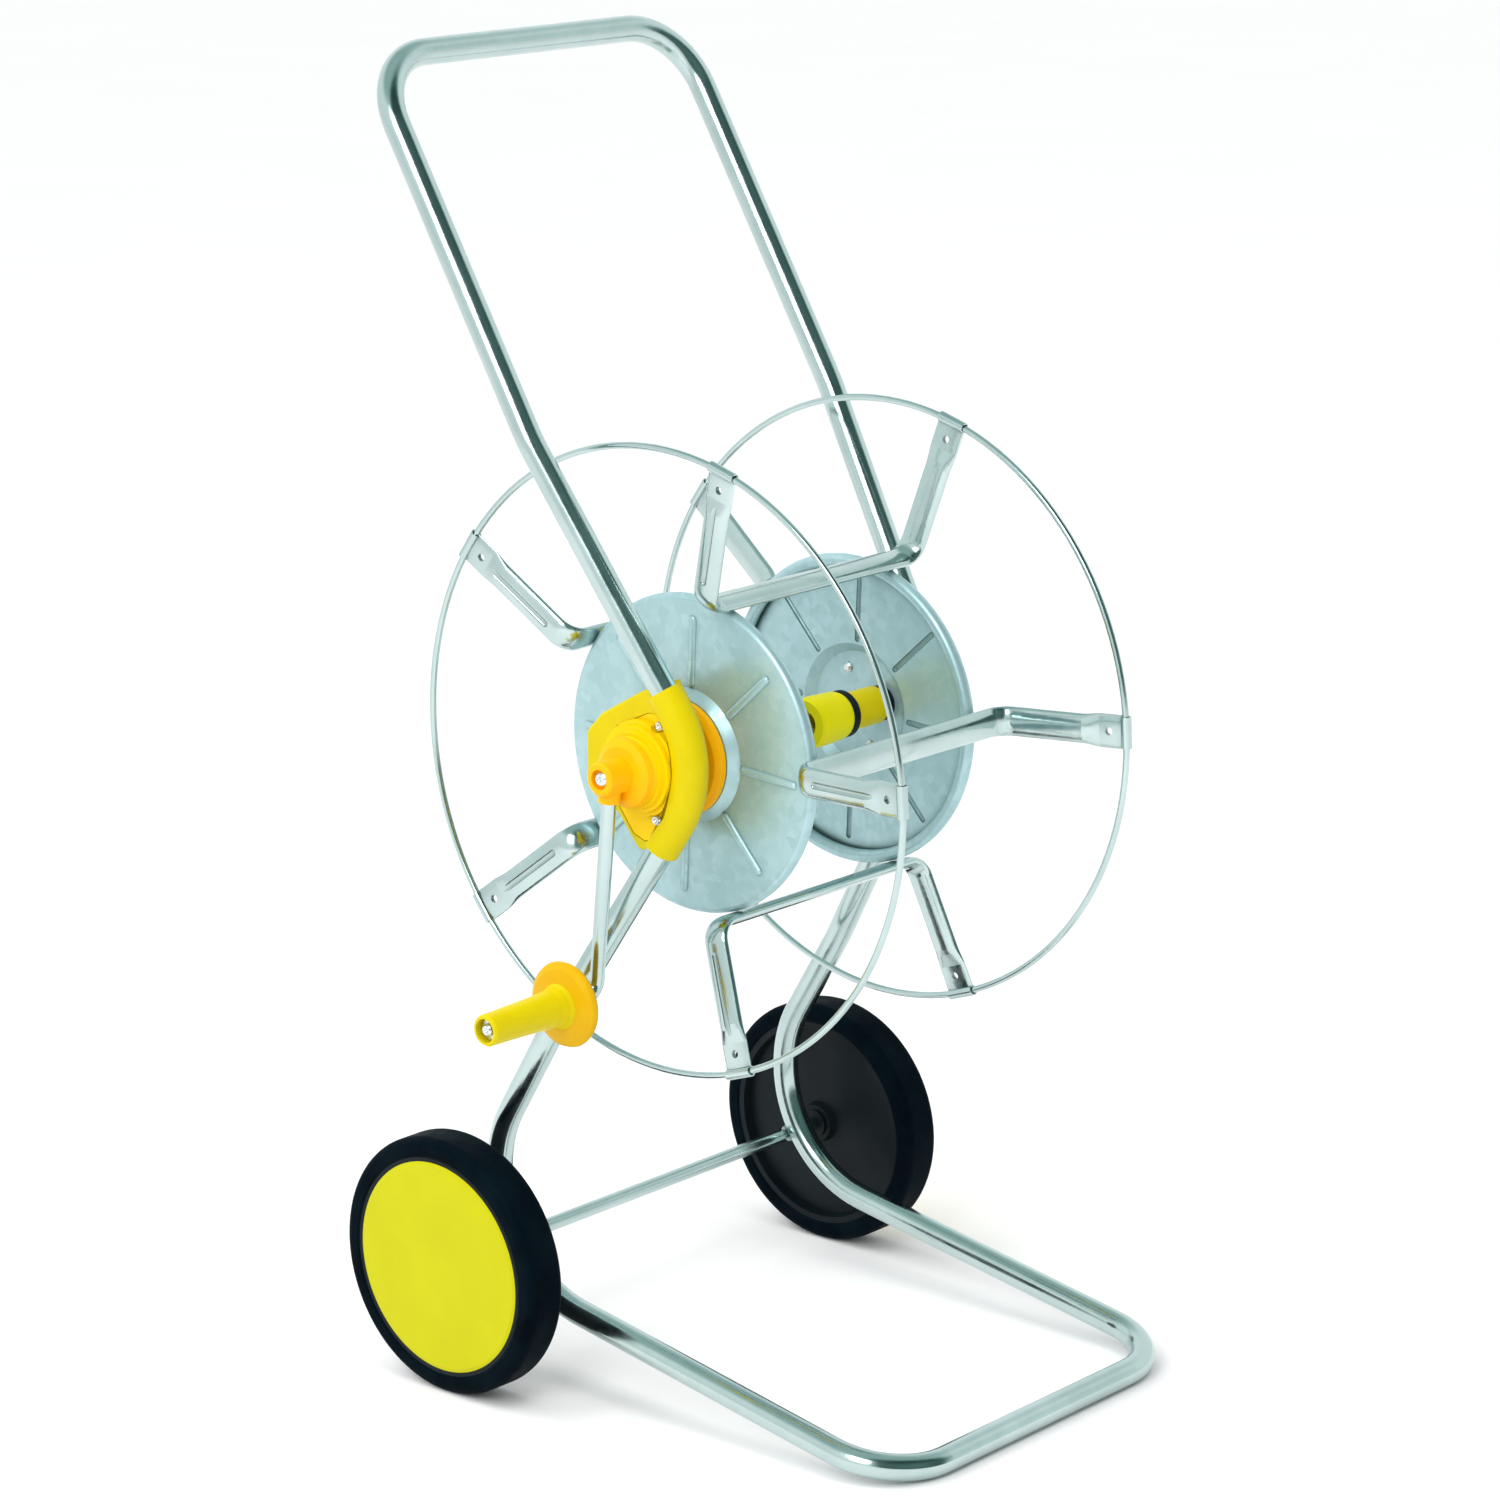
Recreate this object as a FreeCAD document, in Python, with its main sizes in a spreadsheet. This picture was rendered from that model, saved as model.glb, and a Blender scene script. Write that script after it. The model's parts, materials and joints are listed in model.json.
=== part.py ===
"""Garden hose-reel trolley: tubular frame on two wheels, open drum on a crank, in millimetres.

Every piece is drawn in the trolley's own frame: X along the wheel axle, Y from the foot bar to the
rear, Z up, with the axle's middle at x = 0, y = 0. A Placement then moves all of them together, so
that the finished part stands on z = 0 with its origin under the middle of its box. Pieces that come
in pairs are drawn on the left, at positive x, and mirrored to the right, where the crank is.
"""

import FreeCAD, Part
import math
import os
import Sketcher
from FreeCAD import Placement, Rotation, Vector

DIMENSIONS = [
    # alias, value, meaning
    ("tube_radius", 10.0, "frame tube, outside"),
    ("tube_wall", 1.5, "frame tube wall"),
    ("handle_half", 163.6, "half width of the handle"),
    ("handle_rear", 98.4, "handle bar behind the axle"),
    ("handle_height", 988.7, "centre of the handle bar"),
    ("handle_bend", 55.0, "bend radius at the handle's corners"),
    ("upper_elbow_rear", -55.2, "upper elbow behind the axle"),
    ("upper_elbow_height", 722.6, "upper elbow"),
    ("elbow_bend", 150.0, "bend radius of the slight elbows"),
    ("nose_half", 132.8, "half width of the frame at the hubs"),
    ("nose_rear", -193.5, "corner of the legs behind the axle"),
    ("nose_height", 493.3, "corner of the legs"),
    ("nose_bend", 80.0, "bend radius at the hubs"),
    ("joint_run", 62.0, "from the legs' corner up to the tube joint"),
    ("lower_elbow_rear", -57.5, "lower elbow behind the axle"),
    ("lower_elbow_height", 278.2, "lower elbow"),
    ("base_half", 163.1, "half width of the base"),
    ("rear_corner_rear", 62.8, "corner under the legs, behind the axle"),
    ("rear_corner_height", 87.7, "corner under the legs"),
    ("rear_bend", 96.3, "bend radius under the legs"),
    ("foot_rear", -387.4, "foot bar behind the axle"),
    ("foot_bend", 55.0, "bend radius at the foot bar's corners"),
    ("axle_radius", 5.5, "axle rod"),
    ("axle_end", 226.0, "half length of the axle"),
    ("wheel_radius", 100.0, "tyre, outside"),
    ("wheel_inner", 198.0, "inner face of a wheel"),
    ("wheel_outer", 233.5, "outer face of a wheel"),
    ("cap_radius", 82.0, "wheel cap"),
    ("hub_rear", -138.4, "reel axis behind the axle"),
    ("hub_height", 490.1, "reel axis"),
    ("ring_radius", 232.4, "rim ring, centre of the wire"),
    ("ring_wire", 2.5, "rim ring wire radius"),
    ("ring_half", 126.9, "rim ring from the middle"),
    ("disc_radius", 119.5, "drum disc, outside"),
    ("disc_half", 91.9, "inner face of a drum disc from the middle"),
    ("disc_sheet", 1.2, "drum disc sheet"),
    ("disc_roll", 5.0, "rolled rim of a drum disc, radius"),
    ("boss_radius", 43.0, "flat of the disc's boss"),
    ("boss_height", 6.0, "boss dished outwards"),
    ("rib_radius", 3.6, "rib pressed in a drum disc, radius"),
    ("rib_height", 2.2, "height of that rib"),
    ("rib_start", 54.0, "inner end of a rib"),
    ("rib_end", 102.0, "outer end of a rib"),
    ("drum_wide", 11.2, "oval drum tube, half width"),
    ("drum_thick", 4.5, "oval drum tube, half thickness"),
    ("drum_wall", 1.0, "drum tube wall"),
    ("drum_corner", 114.0, "drum tube corner from the middle"),
    ("drum_bend", 15.0, "drum tube bend radius"),
    ("tip_wide", 12.8, "pressed tip of a drum tube, half width"),
    ("tip_thick", 1.8, "pressed tip of a drum tube, half thickness"),
    ("groove_radius", 3.2, "groove pressed along each spoke"),
    ("groove_depth", 1.6, "depth of that groove"),
    ("groove_before", 22.0, "groove's start from the tube's corner"),
    ("groove_beyond", 27.0, "groove's end from the ring"),
    ("tip_length", 36.0, "pressed end of a spoke"),
    ("tip_hole", 14.0, "hole in a spoke's tip from the ring"),
    ("tip_hole_radius", 3.0, "radius of that hole"),
    ("ring_eye", 4.0, "curl of a spoke's tip round the ring, radius"),
    ("journal_radius", 16.0, "hub journal"),
    ("running_gap", 0.05, "radial clearance of a running fit"),
    ("bracket_inner", 117.5, "inner face of a bracket"),
    ("bracket_split", 133.0, "split of a bracket's two shells"),
    ("bracket_outer", 141.0, "outer face of a bracket"),
    ("cover_seat", 138.0, "floor of the recess for the bearing cover"),
    ("ridge_radius", 13.5, "bracket ridge round the tube"),
    ("ridge_up", 66.0, "bracket ridge along the upper leg"),
    ("ridge_down", 73.0, "bracket ridge along the lower leg"),
    ("cover_outer", 157.0, "outer face of a bearing cover"),
    ("outlet_forward", 22.0, "hose outlet in front of the reel axis"),
    ("outlet_up", 6.0, "hose outlet above the reel axis"),
    ("crank_plane", 175.5, "crank arm from the middle"),
    ("crank_radius", 168.0, "crank arm, axis to axis"),
    ("crank_angle", 97.0, "crank arm below the horizontal, from the front"),
    ("crank_rod", 5.5, "crank rod radius"),
    ("crank_bend", 12.0, "crank rod bend radius"),
    ("grip_start", 204.0, "inner end of the grip"),
    ("grip_end", 290.0, "outer end of the grip screw"),
    ("crank_socket", 9.0, "socket of the crank in the right journal, radius"),
    ("hub_screw_circle", 31.0, "hub screws from the reel axis"),
    ("notch_circle", 37.5, "notches of a hub flange from the reel axis"),
]

doc = FreeCAD.newDocument("hose_reel_trolley")
sheet = doc.addObject("Spreadsheet::Sheet", "dims")
for row, (alias, number, meaning) in enumerate(DIMENSIONS, start=1):
    sheet.set(f"A{row}", meaning)
    sheet.set(f"B{row}", str(number))
    sheet.setAlias(f"B{row}", alias)
doc.recompute()

SHIFT_X = "(dims.grip_end - dims.wheel_outer) / 2"
SHIFT_Y = "-(dims.handle_rear + dims.foot_rear) / 2"
AXLE_LINE = ("0", "dims.wheel_radius")
HUB_LINE = ("dims.hub_rear", "dims.hub_height")
OUTLET_LINE = ("dims.hub_rear - dims.outlet_forward", "dims.hub_height + dims.outlet_up")
ALONG_X = Rotation(Vector(0, 1, 0), 90)
HUB_SCREW_ANGLES = (110, 200, 290)
NOTCH_COUNT = 3
FIRST_NOTCH_ANGLE = 50.0
RIB_COUNT = 8
FIRST_RIB_ANGLE = -4.0
# Angles of the drum tubes up from the front: a fifth of a turn apart, as near as hand welding puts them.
DRUM_ANGLES = (2.2, 72.5, 143.3, 217.5, 289.0)

nodes = []


def size(expression):
    """The value of an expression in the sheet's aliases, such as 'dims.tube_radius * 2'."""
    return float(sheet.evalExpression(str(expression)))


def bind(thing, **sizes):
    """Set properties of an object from expressions."""
    for name, expression in sizes.items():
        thing.setExpression(name, str(expression))


def stand(thing, rear="0", height="0", rotation=None):
    """Move a piece from the trolley's frame to the part's frame, on a line parallel to X."""
    if rotation is not None:
        thing.Placement = Placement(Vector(), rotation)
    thing.setExpression("Placement.Base.x", SHIFT_X)
    thing.setExpression("Placement.Base.y", f"{SHIFT_Y} + {rear}")
    thing.setExpression("Placement.Base.z", str(height))
    return thing


def keep(thing, label):
    """Name a finished sub-part and list it for writing."""
    thing.Label = label
    nodes.append(thing)
    return thing


def mirrored(source, label):
    """The right-hand copy of a left-hand piece."""
    copy = doc.addObject("Part::Mirroring", label)
    copy.Source = source
    copy.Normal = Vector(1, 0, 0)
    copy.setExpression("Base.x", SHIFT_X)
    return keep(copy, label)


def pair(source, stem):
    """Keep a left-hand piece and its mirror image."""
    keep(source, f"{stem}_left")
    mirrored(source, f"{stem}_right")


# ---------------------------------------------------------------- sketches and turned pieces


def attach(sketch, body, role):
    """Lay a sketch on one of its own body's origin planes."""
    plane = next(part for part in body.Origin.OriginFeatures if part.Role == role)
    sketch.AttachmentSupport = [(plane, "")]
    sketch.MapMode = "FlatFace"


def draw_polygon(sketch, corners):
    """A closed outline whose corners are bound to pairs of expressions."""
    spots = [Vector(size(first), size(second), 0) for first, second in corners]
    count = len(spots)
    for index in range(count):
        sketch.addGeometry(Part.LineSegment(spots[index], spots[(index + 1) % count]), False)
    for index in range(count):
        sketch.addConstraint(Sketcher.Constraint("Coincident", index, 2, (index + 1) % count, 1))
    for index, pair_of_sizes in enumerate(corners):
        for kind, axis, expression in zip(("DistanceX", "DistanceY"), (-2, -1), pair_of_sizes):
            distance = size(expression)
            if abs(distance) < 1e-9:
                sketch.addConstraint(Sketcher.Constraint("PointOnObject", index, 1, axis))
                continue
            number = sketch.addConstraint(Sketcher.Constraint(kind, -1, 1, index, 1, distance))
            sketch.setExpression(f"Constraints[{number}]", str(expression))


def turned(name, corners, line=HUB_LINE):
    """A body turned about a line parallel to X. Corners are (x, radius) expressions."""
    body = doc.addObject("PartDesign::Body", name)
    sketch = body.newObject("Sketcher::SketchObject", f"{name}_profile")
    attach(sketch, body, "XY_Plane")
    draw_polygon(sketch, corners)
    turn = body.newObject("PartDesign::Revolution", f"{name}_turn")
    turn.Profile = sketch
    turn.ReferenceAxis = (sketch, ["H_Axis"])
    turn.Angle = 360.0
    doc.recompute()
    return stand(body, *line)


def release(body, line=HUB_LINE):
    """Take a turned body back to the trolley's frame, for use in a boolean there."""
    body.setExpression("Placement.Base.x", None)
    body.Placement = Placement()
    body.setExpression("Placement.Base.y", line[0])
    body.setExpression("Placement.Base.z", line[1])


def round_edges(body, name, radius, chosen):
    """Fillet the edges of a body's last feature that a test picks."""
    base = body.Tip
    names = [f"Edge{n}" for n, edge in enumerate(base.Shape.Edges, start=1) if chosen(edge)]
    fillet = body.newObject("PartDesign::Fillet", name)
    fillet.Base = (base, names)
    fillet.setExpression("Radius", str(radius))
    doc.recompute()


def circle_at(x, radius):
    """A test for the round edges of a turned body at one place along X and one radius."""
    def chosen(edge):
        curve = edge.Curve
        if not isinstance(curve, Part.Circle):
            return False
        return abs(curve.Center.x - x) < 0.01 and abs(curve.Radius - radius) < 0.01
    return chosen


def is_along_x(edge):
    """Whether an edge is straight and parallel to X."""
    return edge.tangentAt(edge.FirstParameter).cross(Vector(1, 0, 0)).Length < 1e-6


def lies_at(edge, x):
    """Whether an edge lies in the plane at one place along X."""
    return abs(edge.BoundBox.XMin - x) < 1e-6 and abs(edge.BoundBox.XMax - x) < 1e-6


# ---------------------------------------------------------------- booleans


def fuse(name, shapes):
    """One solid from several that meet."""
    joined = doc.addObject("Part::MultiFuse", name)
    joined.Shapes = shapes
    joined.Refine = True
    return joined


def cut(name, base, tool):
    """The base with the tool taken away."""
    result = doc.addObject("Part::Cut", name)
    result.Base = base
    result.Tool = tool
    return result


def group(name, shapes):
    """Separate solids kept as one compound."""
    together = doc.addObject("Part::Compound", name)
    together.Links = shapes
    return together


def cylinder(name, radius, length, spot=("0", "0", "0"), rotation=ALONG_X):
    """A cylinder from a spot, along X unless it is turned another way."""
    rod = doc.addObject("Part::Cylinder", name)
    rod.Placement = Placement(Vector(), rotation)
    bind(rod, Radius=radius, Height=length)
    for axis, expression in zip("xyz", spot):
        rod.setExpression(f"Placement.Base.{axis}", str(expression))
    return rod


def rod_from(name, radius, length, start, direction):
    """A cylinder from a point along a direction, both worked out in the trolley's frame."""
    rod = doc.addObject("Part::Cylinder", name)
    bind(rod, Radius=radius, Height=length)
    rod.Placement = Placement(start, Rotation(Vector(0, 0, 1), direction))
    return rod


def around_hub(radius, angle):
    """Rear and height of a point at a radius from the reel axis, at an angle up from the front."""
    rear = f"dims.hub_rear - ({radius}) * cos({angle})"
    height = f"dims.hub_height + ({radius}) * sin({angle})"
    return rear, height


# ---------------------------------------------------------------- bent tubes


def rounded_path(points, radii):
    """A wire through points, with a tangent arc of the given radius at each inner point."""
    edges = []
    start = points[0]
    for before, corner, after, radius in zip(points, points[1:], points[2:], radii):
        arriving = (corner - before).normalize()
        leaving = (after - corner).normalize()
        half_turn = arriving.getAngle(leaving) / 2
        reach = radius * math.tan(half_turn)
        first = corner - arriving * reach
        last = corner + leaving * reach
        towards = (leaving - arriving).normalize()
        middle = corner + towards * (radius / math.cos(half_turn) - radius)
        edges.append(Part.LineSegment(start, first).toShape())
        edges.append(Part.Arc(first, middle, last).toShape())
        start = last
    edges.append(Part.LineSegment(start, points[-1]).toShape())
    return Part.Wire(edges)


def swept(name, path, radius):
    """A round bar of one radius along a path."""
    line = doc.addObject("Part::Feature", f"{name}_path")
    line.Shape = path
    first = path.Edges[0]
    start = first.valueAt(first.FirstParameter)
    heading = first.tangentAt(first.FirstParameter)
    section = doc.addObject("Part::Circle", f"{name}_section")
    section.setExpression("Radius", str(radius))
    section.Placement = Placement(start, Rotation(Vector(0, 0, 1), heading))
    bar = doc.addObject("Part::Sweep", name)
    bar.Sections = [section]
    bar.Spine = (line, [f"Edge{n + 1}" for n in range(len(path.Edges))])
    bar.Solid = True
    bar.Frenet = False
    return bar


def tube(name, path, radius, wall):
    """A bent tube, open at both ends."""
    outside = swept(f"{name}_outside", path, radius)
    inside = swept(f"{name}_inside", path, f"{radius} - {wall}")
    return cut(name, outside, inside)


def frame_point(half, rear, height, side=1):
    """A corner of the frame, on the left for side 1 and on the right for side -1."""
    return Vector(side * size(half), size(rear), size(height))


def corners_of_frame(side):
    """The frame's named corners on one side, from the foot bar up to the handle."""
    foot = frame_point("dims.base_half", "dims.foot_rear", "dims.tube_radius", side)
    rear = frame_point("dims.base_half", "dims.rear_corner_rear", "dims.rear_corner_height", side)
    low = frame_point("dims.base_half", "dims.lower_elbow_rear", "dims.lower_elbow_height", side)
    nose = frame_point("dims.nose_half", "dims.nose_rear", "dims.nose_height", side)
    high = frame_point("dims.handle_half", "dims.upper_elbow_rear", "dims.upper_elbow_height", side)
    top = frame_point("dims.handle_half", "dims.handle_rear", "dims.handle_height", side)
    return foot, rear, low, nose, high, top


def joint_of_tubes(side):
    """The point where the base tube meets the handle tube, and the direction up the leg."""
    nose, high = corners_of_frame(side)[3:5]
    upwards = (high - nose).normalize()
    return nose + upwards * size("dims.joint_run"), upwards


def make_handle_tube():
    """The upper U, from one tube joint over the handle bar to the other."""
    left = corners_of_frame(1)
    right = corners_of_frame(-1)
    points = [joint_of_tubes(1)[0], left[4], left[5], right[5], right[4], joint_of_tubes(-1)[0]]
    elbow = size("dims.elbow_bend")
    corner = size("dims.handle_bend")
    path = rounded_path(points, [elbow, corner, corner, elbow])
    keep(stand(tube("handle_tube", path, "dims.tube_radius", "dims.tube_wall")), "handle_tube")


def make_base_tube():
    """The lower tube: legs, rear bends, runners and foot bar in one length."""
    foot, rear, low, nose = corners_of_frame(1)[:4]
    foot_right, rear_right, low_right, nose_right = corners_of_frame(-1)[:4]
    points = [joint_of_tubes(1)[0], nose, low, rear, foot]
    points += [foot_right, rear_right, low_right, nose_right, joint_of_tubes(-1)[0]]
    bends = ("dims.nose_bend", "dims.elbow_bend", "dims.rear_bend", "dims.foot_bend")
    radii = [size(bend) for bend in bends]
    path = rounded_path(points, radii + radii[::-1])
    keep(stand(tube("base_tube", path, "dims.tube_radius", "dims.tube_wall")), "base_tube")


def make_frame_couplings():
    """A sleeve inside the two tubes at each joint."""
    below, above = 11.0, 28.0
    sleeves = []
    for side in (1, -1):
        middle, upwards = joint_of_tubes(side)
        start = middle - upwards * below
        path = Part.Wire([Part.LineSegment(start, middle + upwards * above).toShape()])
        outside = "dims.tube_radius - dims.tube_wall - dims.running_gap"
        sleeves.append(tube(f"coupling_sleeve_{side + 1}", path, outside, "dims.tube_wall"))
    keep(stand(group("frame_couplings", sleeves)), "frame_couplings")


# ---------------------------------------------------------------- axle and wheels


def make_axle():
    """The axle rod, its weld beads on the rear bends, its washers and its push-on retainers."""
    rod = turned("axle", [
        ("-dims.axle_end", "0"),
        ("-dims.axle_end", "dims.axle_radius - 1"),
        ("1 - dims.axle_end", "dims.axle_radius"),
        ("dims.axle_end - 1", "dims.axle_radius"),
        ("dims.axle_end", "dims.axle_radius - 1"),
        ("dims.axle_end", "0"),
    ], AXLE_LINE)
    keep(rod, "axle")
    washer = turned("axle_washer_left", [
        ("dims.wheel_inner - 2.3", "dims.axle_radius"),
        ("dims.wheel_inner - 2.3", "11"),
        ("dims.wheel_inner - 0.3", "11"),
        ("dims.wheel_inner - 0.3", "dims.axle_radius"),
    ], AXLE_LINE)
    pair(washer, "axle_washer")
    retainer = turned("axle_retainer_left", [
        ("dims.axle_end - 4", "dims.axle_radius"),
        ("dims.axle_end - 4", "10"),
        ("dims.axle_end - 3", "10"),
        ("dims.axle_end - 2", "dims.axle_radius + 2"),
        ("dims.axle_end - 0.5", "dims.axle_radius"),
    ], AXLE_LINE)
    pair(retainer, "axle_retainer")


def make_axle_welds():
    """Two fillet welds on each side, in the corners where the axle crosses the bend."""
    corner = corners_of_frame(1)
    foot, rear, low = corner[:3]
    down = (rear - low).normalize()
    forward = (foot - rear).normalize()
    half_turn = down.getAngle(forward) / 2
    bend = size("dims.rear_bend")
    centre = rear + (forward - down).normalize() * (bend / math.cos(half_turn))
    axle = Vector(rear.x, 0, size("dims.wheel_radius"))
    outwards = (axle - centre).normalize()
    contact = centre + outwards * (bend + size("dims.tube_radius"))
    across = outwards.cross(Vector(1, 0, 0))
    beads = []
    for side in (1, -1):
        for way in (1, -1):
            bead = doc.addObject("Part::Ellipsoid", f"bead_{side + 1}_{way + 1}")
            bead.Radius1 = 2.6
            bead.Radius2 = 8.0
            bead.Radius3 = 2.6
            spot = contact + across * (way * 4.6) + outwards * 1.0
            bead.Placement = Placement(Vector(side * spot.x, spot.y, spot.z), Rotation())
            beads.append(bead)
    keep(stand(group("axle_welds", beads)), "axle_welds")


def make_wheels():
    """Tyre, rim and cap of each wheel."""
    tyre = turned("tyre_left", [
        ("dims.wheel_inner + 1", "85"),
        ("dims.wheel_inner", "87"),
        ("dims.wheel_inner", "dims.wheel_radius"),
        ("dims.wheel_outer", "dims.wheel_radius"),
        ("dims.wheel_outer", "87"),
        ("dims.wheel_outer - 1", "85"),
    ], AXLE_LINE)
    for stem, face in (("inner", "dims.wheel_inner"), ("outer", "dims.wheel_outer")):
        round_edges(tyre, f"tyre_{stem}_shoulder", 7.5, circle_at(size(face), size("dims.wheel_radius")))
    pair(tyre, "tyre")
    rim = turned("rim_left", [
        ("dims.wheel_inner", "dims.axle_radius + dims.running_gap"),
        ("dims.wheel_inner", "15"),
        ("dims.wheel_inner + 6", "17"),
        ("dims.wheel_inner + 8", "78"),
        ("dims.wheel_inner + 1", "80"),
        ("dims.wheel_inner + 1", "85"),
        ("dims.wheel_outer - 1", "85"),
        ("dims.wheel_outer - 1", "dims.cap_radius"),
        ("dims.wheel_outer - 6", "80"),
        ("dims.wheel_inner + 12", "78"),
        ("dims.wheel_inner + 10", "17"),
        ("dims.axle_end - 4.4", "15"),
        ("dims.axle_end - 4.4", "dims.axle_radius + dims.running_gap"),
    ], AXLE_LINE)
    pair(rim, "rim")
    cap = turned("cap_left", [
        ("dims.wheel_outer - 3", "0"),
        ("dims.wheel_outer - 3.5", "40"),
        ("dims.wheel_outer - 5", "70"),
        ("dims.wheel_outer - 12", "76"),
        ("dims.wheel_outer - 12", "78.7"),
        ("dims.wheel_outer - 5.7", "79.4"),
        ("dims.wheel_outer - 1.2", "dims.cap_radius - 0.15"),
        ("dims.wheel_outer - 0.4", "79"),
        ("dims.wheel_outer", "66"),
        ("dims.wheel_outer", "0"),
    ], AXLE_LINE)
    pair(cap, "cap")


# ---------------------------------------------------------------- hub brackets


def nose_path(extra=0.0):
    """The tube's line through the left bracket, as long as its ridge and an extra at both ends."""
    low, nose, high = corners_of_frame(1)[2:5]
    lower = nose + (low - nose).normalize() * (size("dims.ridge_down") + extra)
    upper = nose + (high - nose).normalize() * (size("dims.ridge_up") + extra)
    return rounded_path([lower, nose, upper], [size("dims.nose_bend")])


# Outlines round the reel axis, as pairs of rear and height.
COVER_OUTLINE = [
    ("-24", "41"),
    ("-6", "41"),
    ("26", "27"),
    ("35", "12"),
    ("36", "-14"),
    ("27", "-31"),
    ("12", "-51"),
    ("1", "-55"),
    ("-11", "-52"),
    ("-28", "-30"),
    ("-33", "3"),
    ("-31", "25"),
]
PLATE_OUTLINE = [
    ("-17", "64"),
    ("2", "56"),
    ("42", "34"),
    ("57", "19"),
    ("58", "-14"),
    ("52", "-29"),
    ("28", "-38"),
    ("8", "-63"),
    ("-14", "-63"),
    ("-44", "3"),
]


def leaf(name, start, length, grow=0.0):
    """A flat plate with the bearing cover's outline, from a place along X, grown all round."""
    body = doc.addObject("PartDesign::Body", name)
    sketch = body.newObject("Sketcher::SketchObject", f"{name}_outline")
    attach(sketch, body, "YZ_Plane")
    scale = 1 + grow
    draw_polygon(sketch, [(f"{rear} * {scale}", f"{height} * {scale}") for rear, height in COVER_OUTLINE])
    pad = body.newObject("PartDesign::Pad", f"{name}_pad")
    pad.Profile = sketch
    bind(pad, Length=length)
    doc.recompute()
    round_edges(body, f"{name}_corners", 3.0, is_along_x)
    body.setExpression("Placement.Base.x", start)
    body.setExpression("Placement.Base.y", "dims.hub_rear")
    body.setExpression("Placement.Base.z", "dims.hub_height")
    return body


def bracket_plate():
    """The flat body of a bracket, behind the tube: a leaf shape round the hub."""
    body = doc.addObject("PartDesign::Body", "bracket_plate")
    sketch = body.newObject("Sketcher::SketchObject", "bracket_outline")
    attach(sketch, body, "YZ_Plane")
    draw_polygon(sketch, PLATE_OUTLINE)
    pad = body.newObject("PartDesign::Pad", "bracket_pad")
    pad.Profile = sketch
    bind(pad, Length="dims.bracket_outer - dims.bracket_inner")
    doc.recompute()
    round_edges(body, "bracket_corners", 7.0, lambda edge: is_along_x(edge) and edge.CenterOfMass.y > -10)
    for face, place in (("inner", 0.0), ("outer", size("dims.bracket_outer - dims.bracket_inner"))):
        round_edges(body, f"bracket_{face}_edge", 2.5, lambda edge, x=place: lies_at(edge, x))
    body.setExpression("Placement.Base.x", "dims.bracket_inner")
    body.setExpression("Placement.Base.y", "dims.hub_rear")
    body.setExpression("Placement.Base.z", "dims.hub_height")
    return body


def screw_spots():
    """Rear and height of the two screws of a bracket, above and below the hub."""
    return [
        ("dims.hub_rear - 17", "dims.hub_height + 33"),
        ("dims.hub_rear - 12", "dims.hub_height - 37.5"),
    ]


def make_brackets():
    """Outer and inner shells of each bracket, clamped round the tube."""
    ridge = swept("bracket_ridge", nose_path(), "dims.ridge_radius")
    whole = fuse("bracket_whole", [bracket_plate(), ridge])
    holes = [
        swept("bracket_channel", nose_path(30.0), "dims.tube_radius"),
        cylinder("bracket_bore", "19", "80", ("dims.bracket_inner - 20", *HUB_LINE)),
    ]
    for number, spot in enumerate(screw_spots(), start=1):
        holes.append(cylinder(f"screw_hole_{number}", "2.5", "80", ("dims.bracket_inner - 20", *spot)))
        holes.append(cylinder(f"nut_seat_{number}", "5", "20", ("dims.bracket_inner - 15", *spot)))
    holes.append(leaf("cover_recess", "dims.cover_seat", "20", grow=0.012))
    hollow = cut("bracket_hollow", whole, fuse("bracket_holes", holes))
    for stem, start in (("bracket_inner", "0"), ("bracket_outer", "dims.bracket_split")):
        half = doc.addObject("Part::Box", f"{stem}_half")
        bind(half, Width=400, Height=400)
        half.setExpression("Length", "dims.bracket_split")
        half.setExpression("Placement.Base.x", start)
        half.setExpression("Placement.Base.y", "dims.hub_rear - 200")
        half.setExpression("Placement.Base.z", "dims.hub_height - 200")
        shell = doc.addObject("Part::Common", f"{stem}_left")
        shell.Base = hollow
        shell.Tool = half
        pair(stand(shell), stem)


def make_bracket_screws():
    """Two pan-head screws and two nuts for each bracket."""
    screws = []
    nuts = []
    for number, spot in enumerate(screw_spots(), start=1):
        screw = turned(f"bracket_screw_{number}", [
            ("dims.bracket_inner + 1", "0"),
            ("dims.bracket_inner + 1", "2.35"),
            ("dims.cover_seat + 2.6", "2.35"),
            ("dims.cover_seat + 2.6", "4"),
            ("dims.cover_seat + 3.8", "4"),
            ("dims.cover_seat + 5.2", "3"),
            ("dims.cover_seat + 5.2", "1.8"),
            ("dims.cover_seat + 3.6", "0"),
        ], spot)
        screws += [screw, mirror_tool(screw)]
        nut = doc.addObject("Part::Prism", f"bracket_nut_{number}")
        nut.Polygon = 6
        nut.Circumradius = 4.6
        nut.Height = 3.2
        bore = cylinder(f"nut_bore_{number}", "2.4", "5", rotation=Rotation())
        ring = stand(cut(f"nut_ring_{number}", nut, bore), *spot, rotation=ALONG_X)
        ring.setExpression("Placement.Base.x", f"{SHIFT_X} + dims.bracket_inner + 1.6")
        nuts += [ring, mirror_tool(ring)]
    keep(group("bracket_screws", screws), "bracket_screws")
    keep(group("bracket_nuts", nuts), "bracket_nuts")


def mirror_tool(source):
    """A mirror image that belongs to a group of separate solids."""
    copy = doc.addObject("Part::Mirroring", f"{source.Name}_mirror")
    copy.Source = source
    copy.Normal = Vector(1, 0, 0)
    copy.setExpression("Base.x", SHIFT_X)
    return copy


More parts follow.
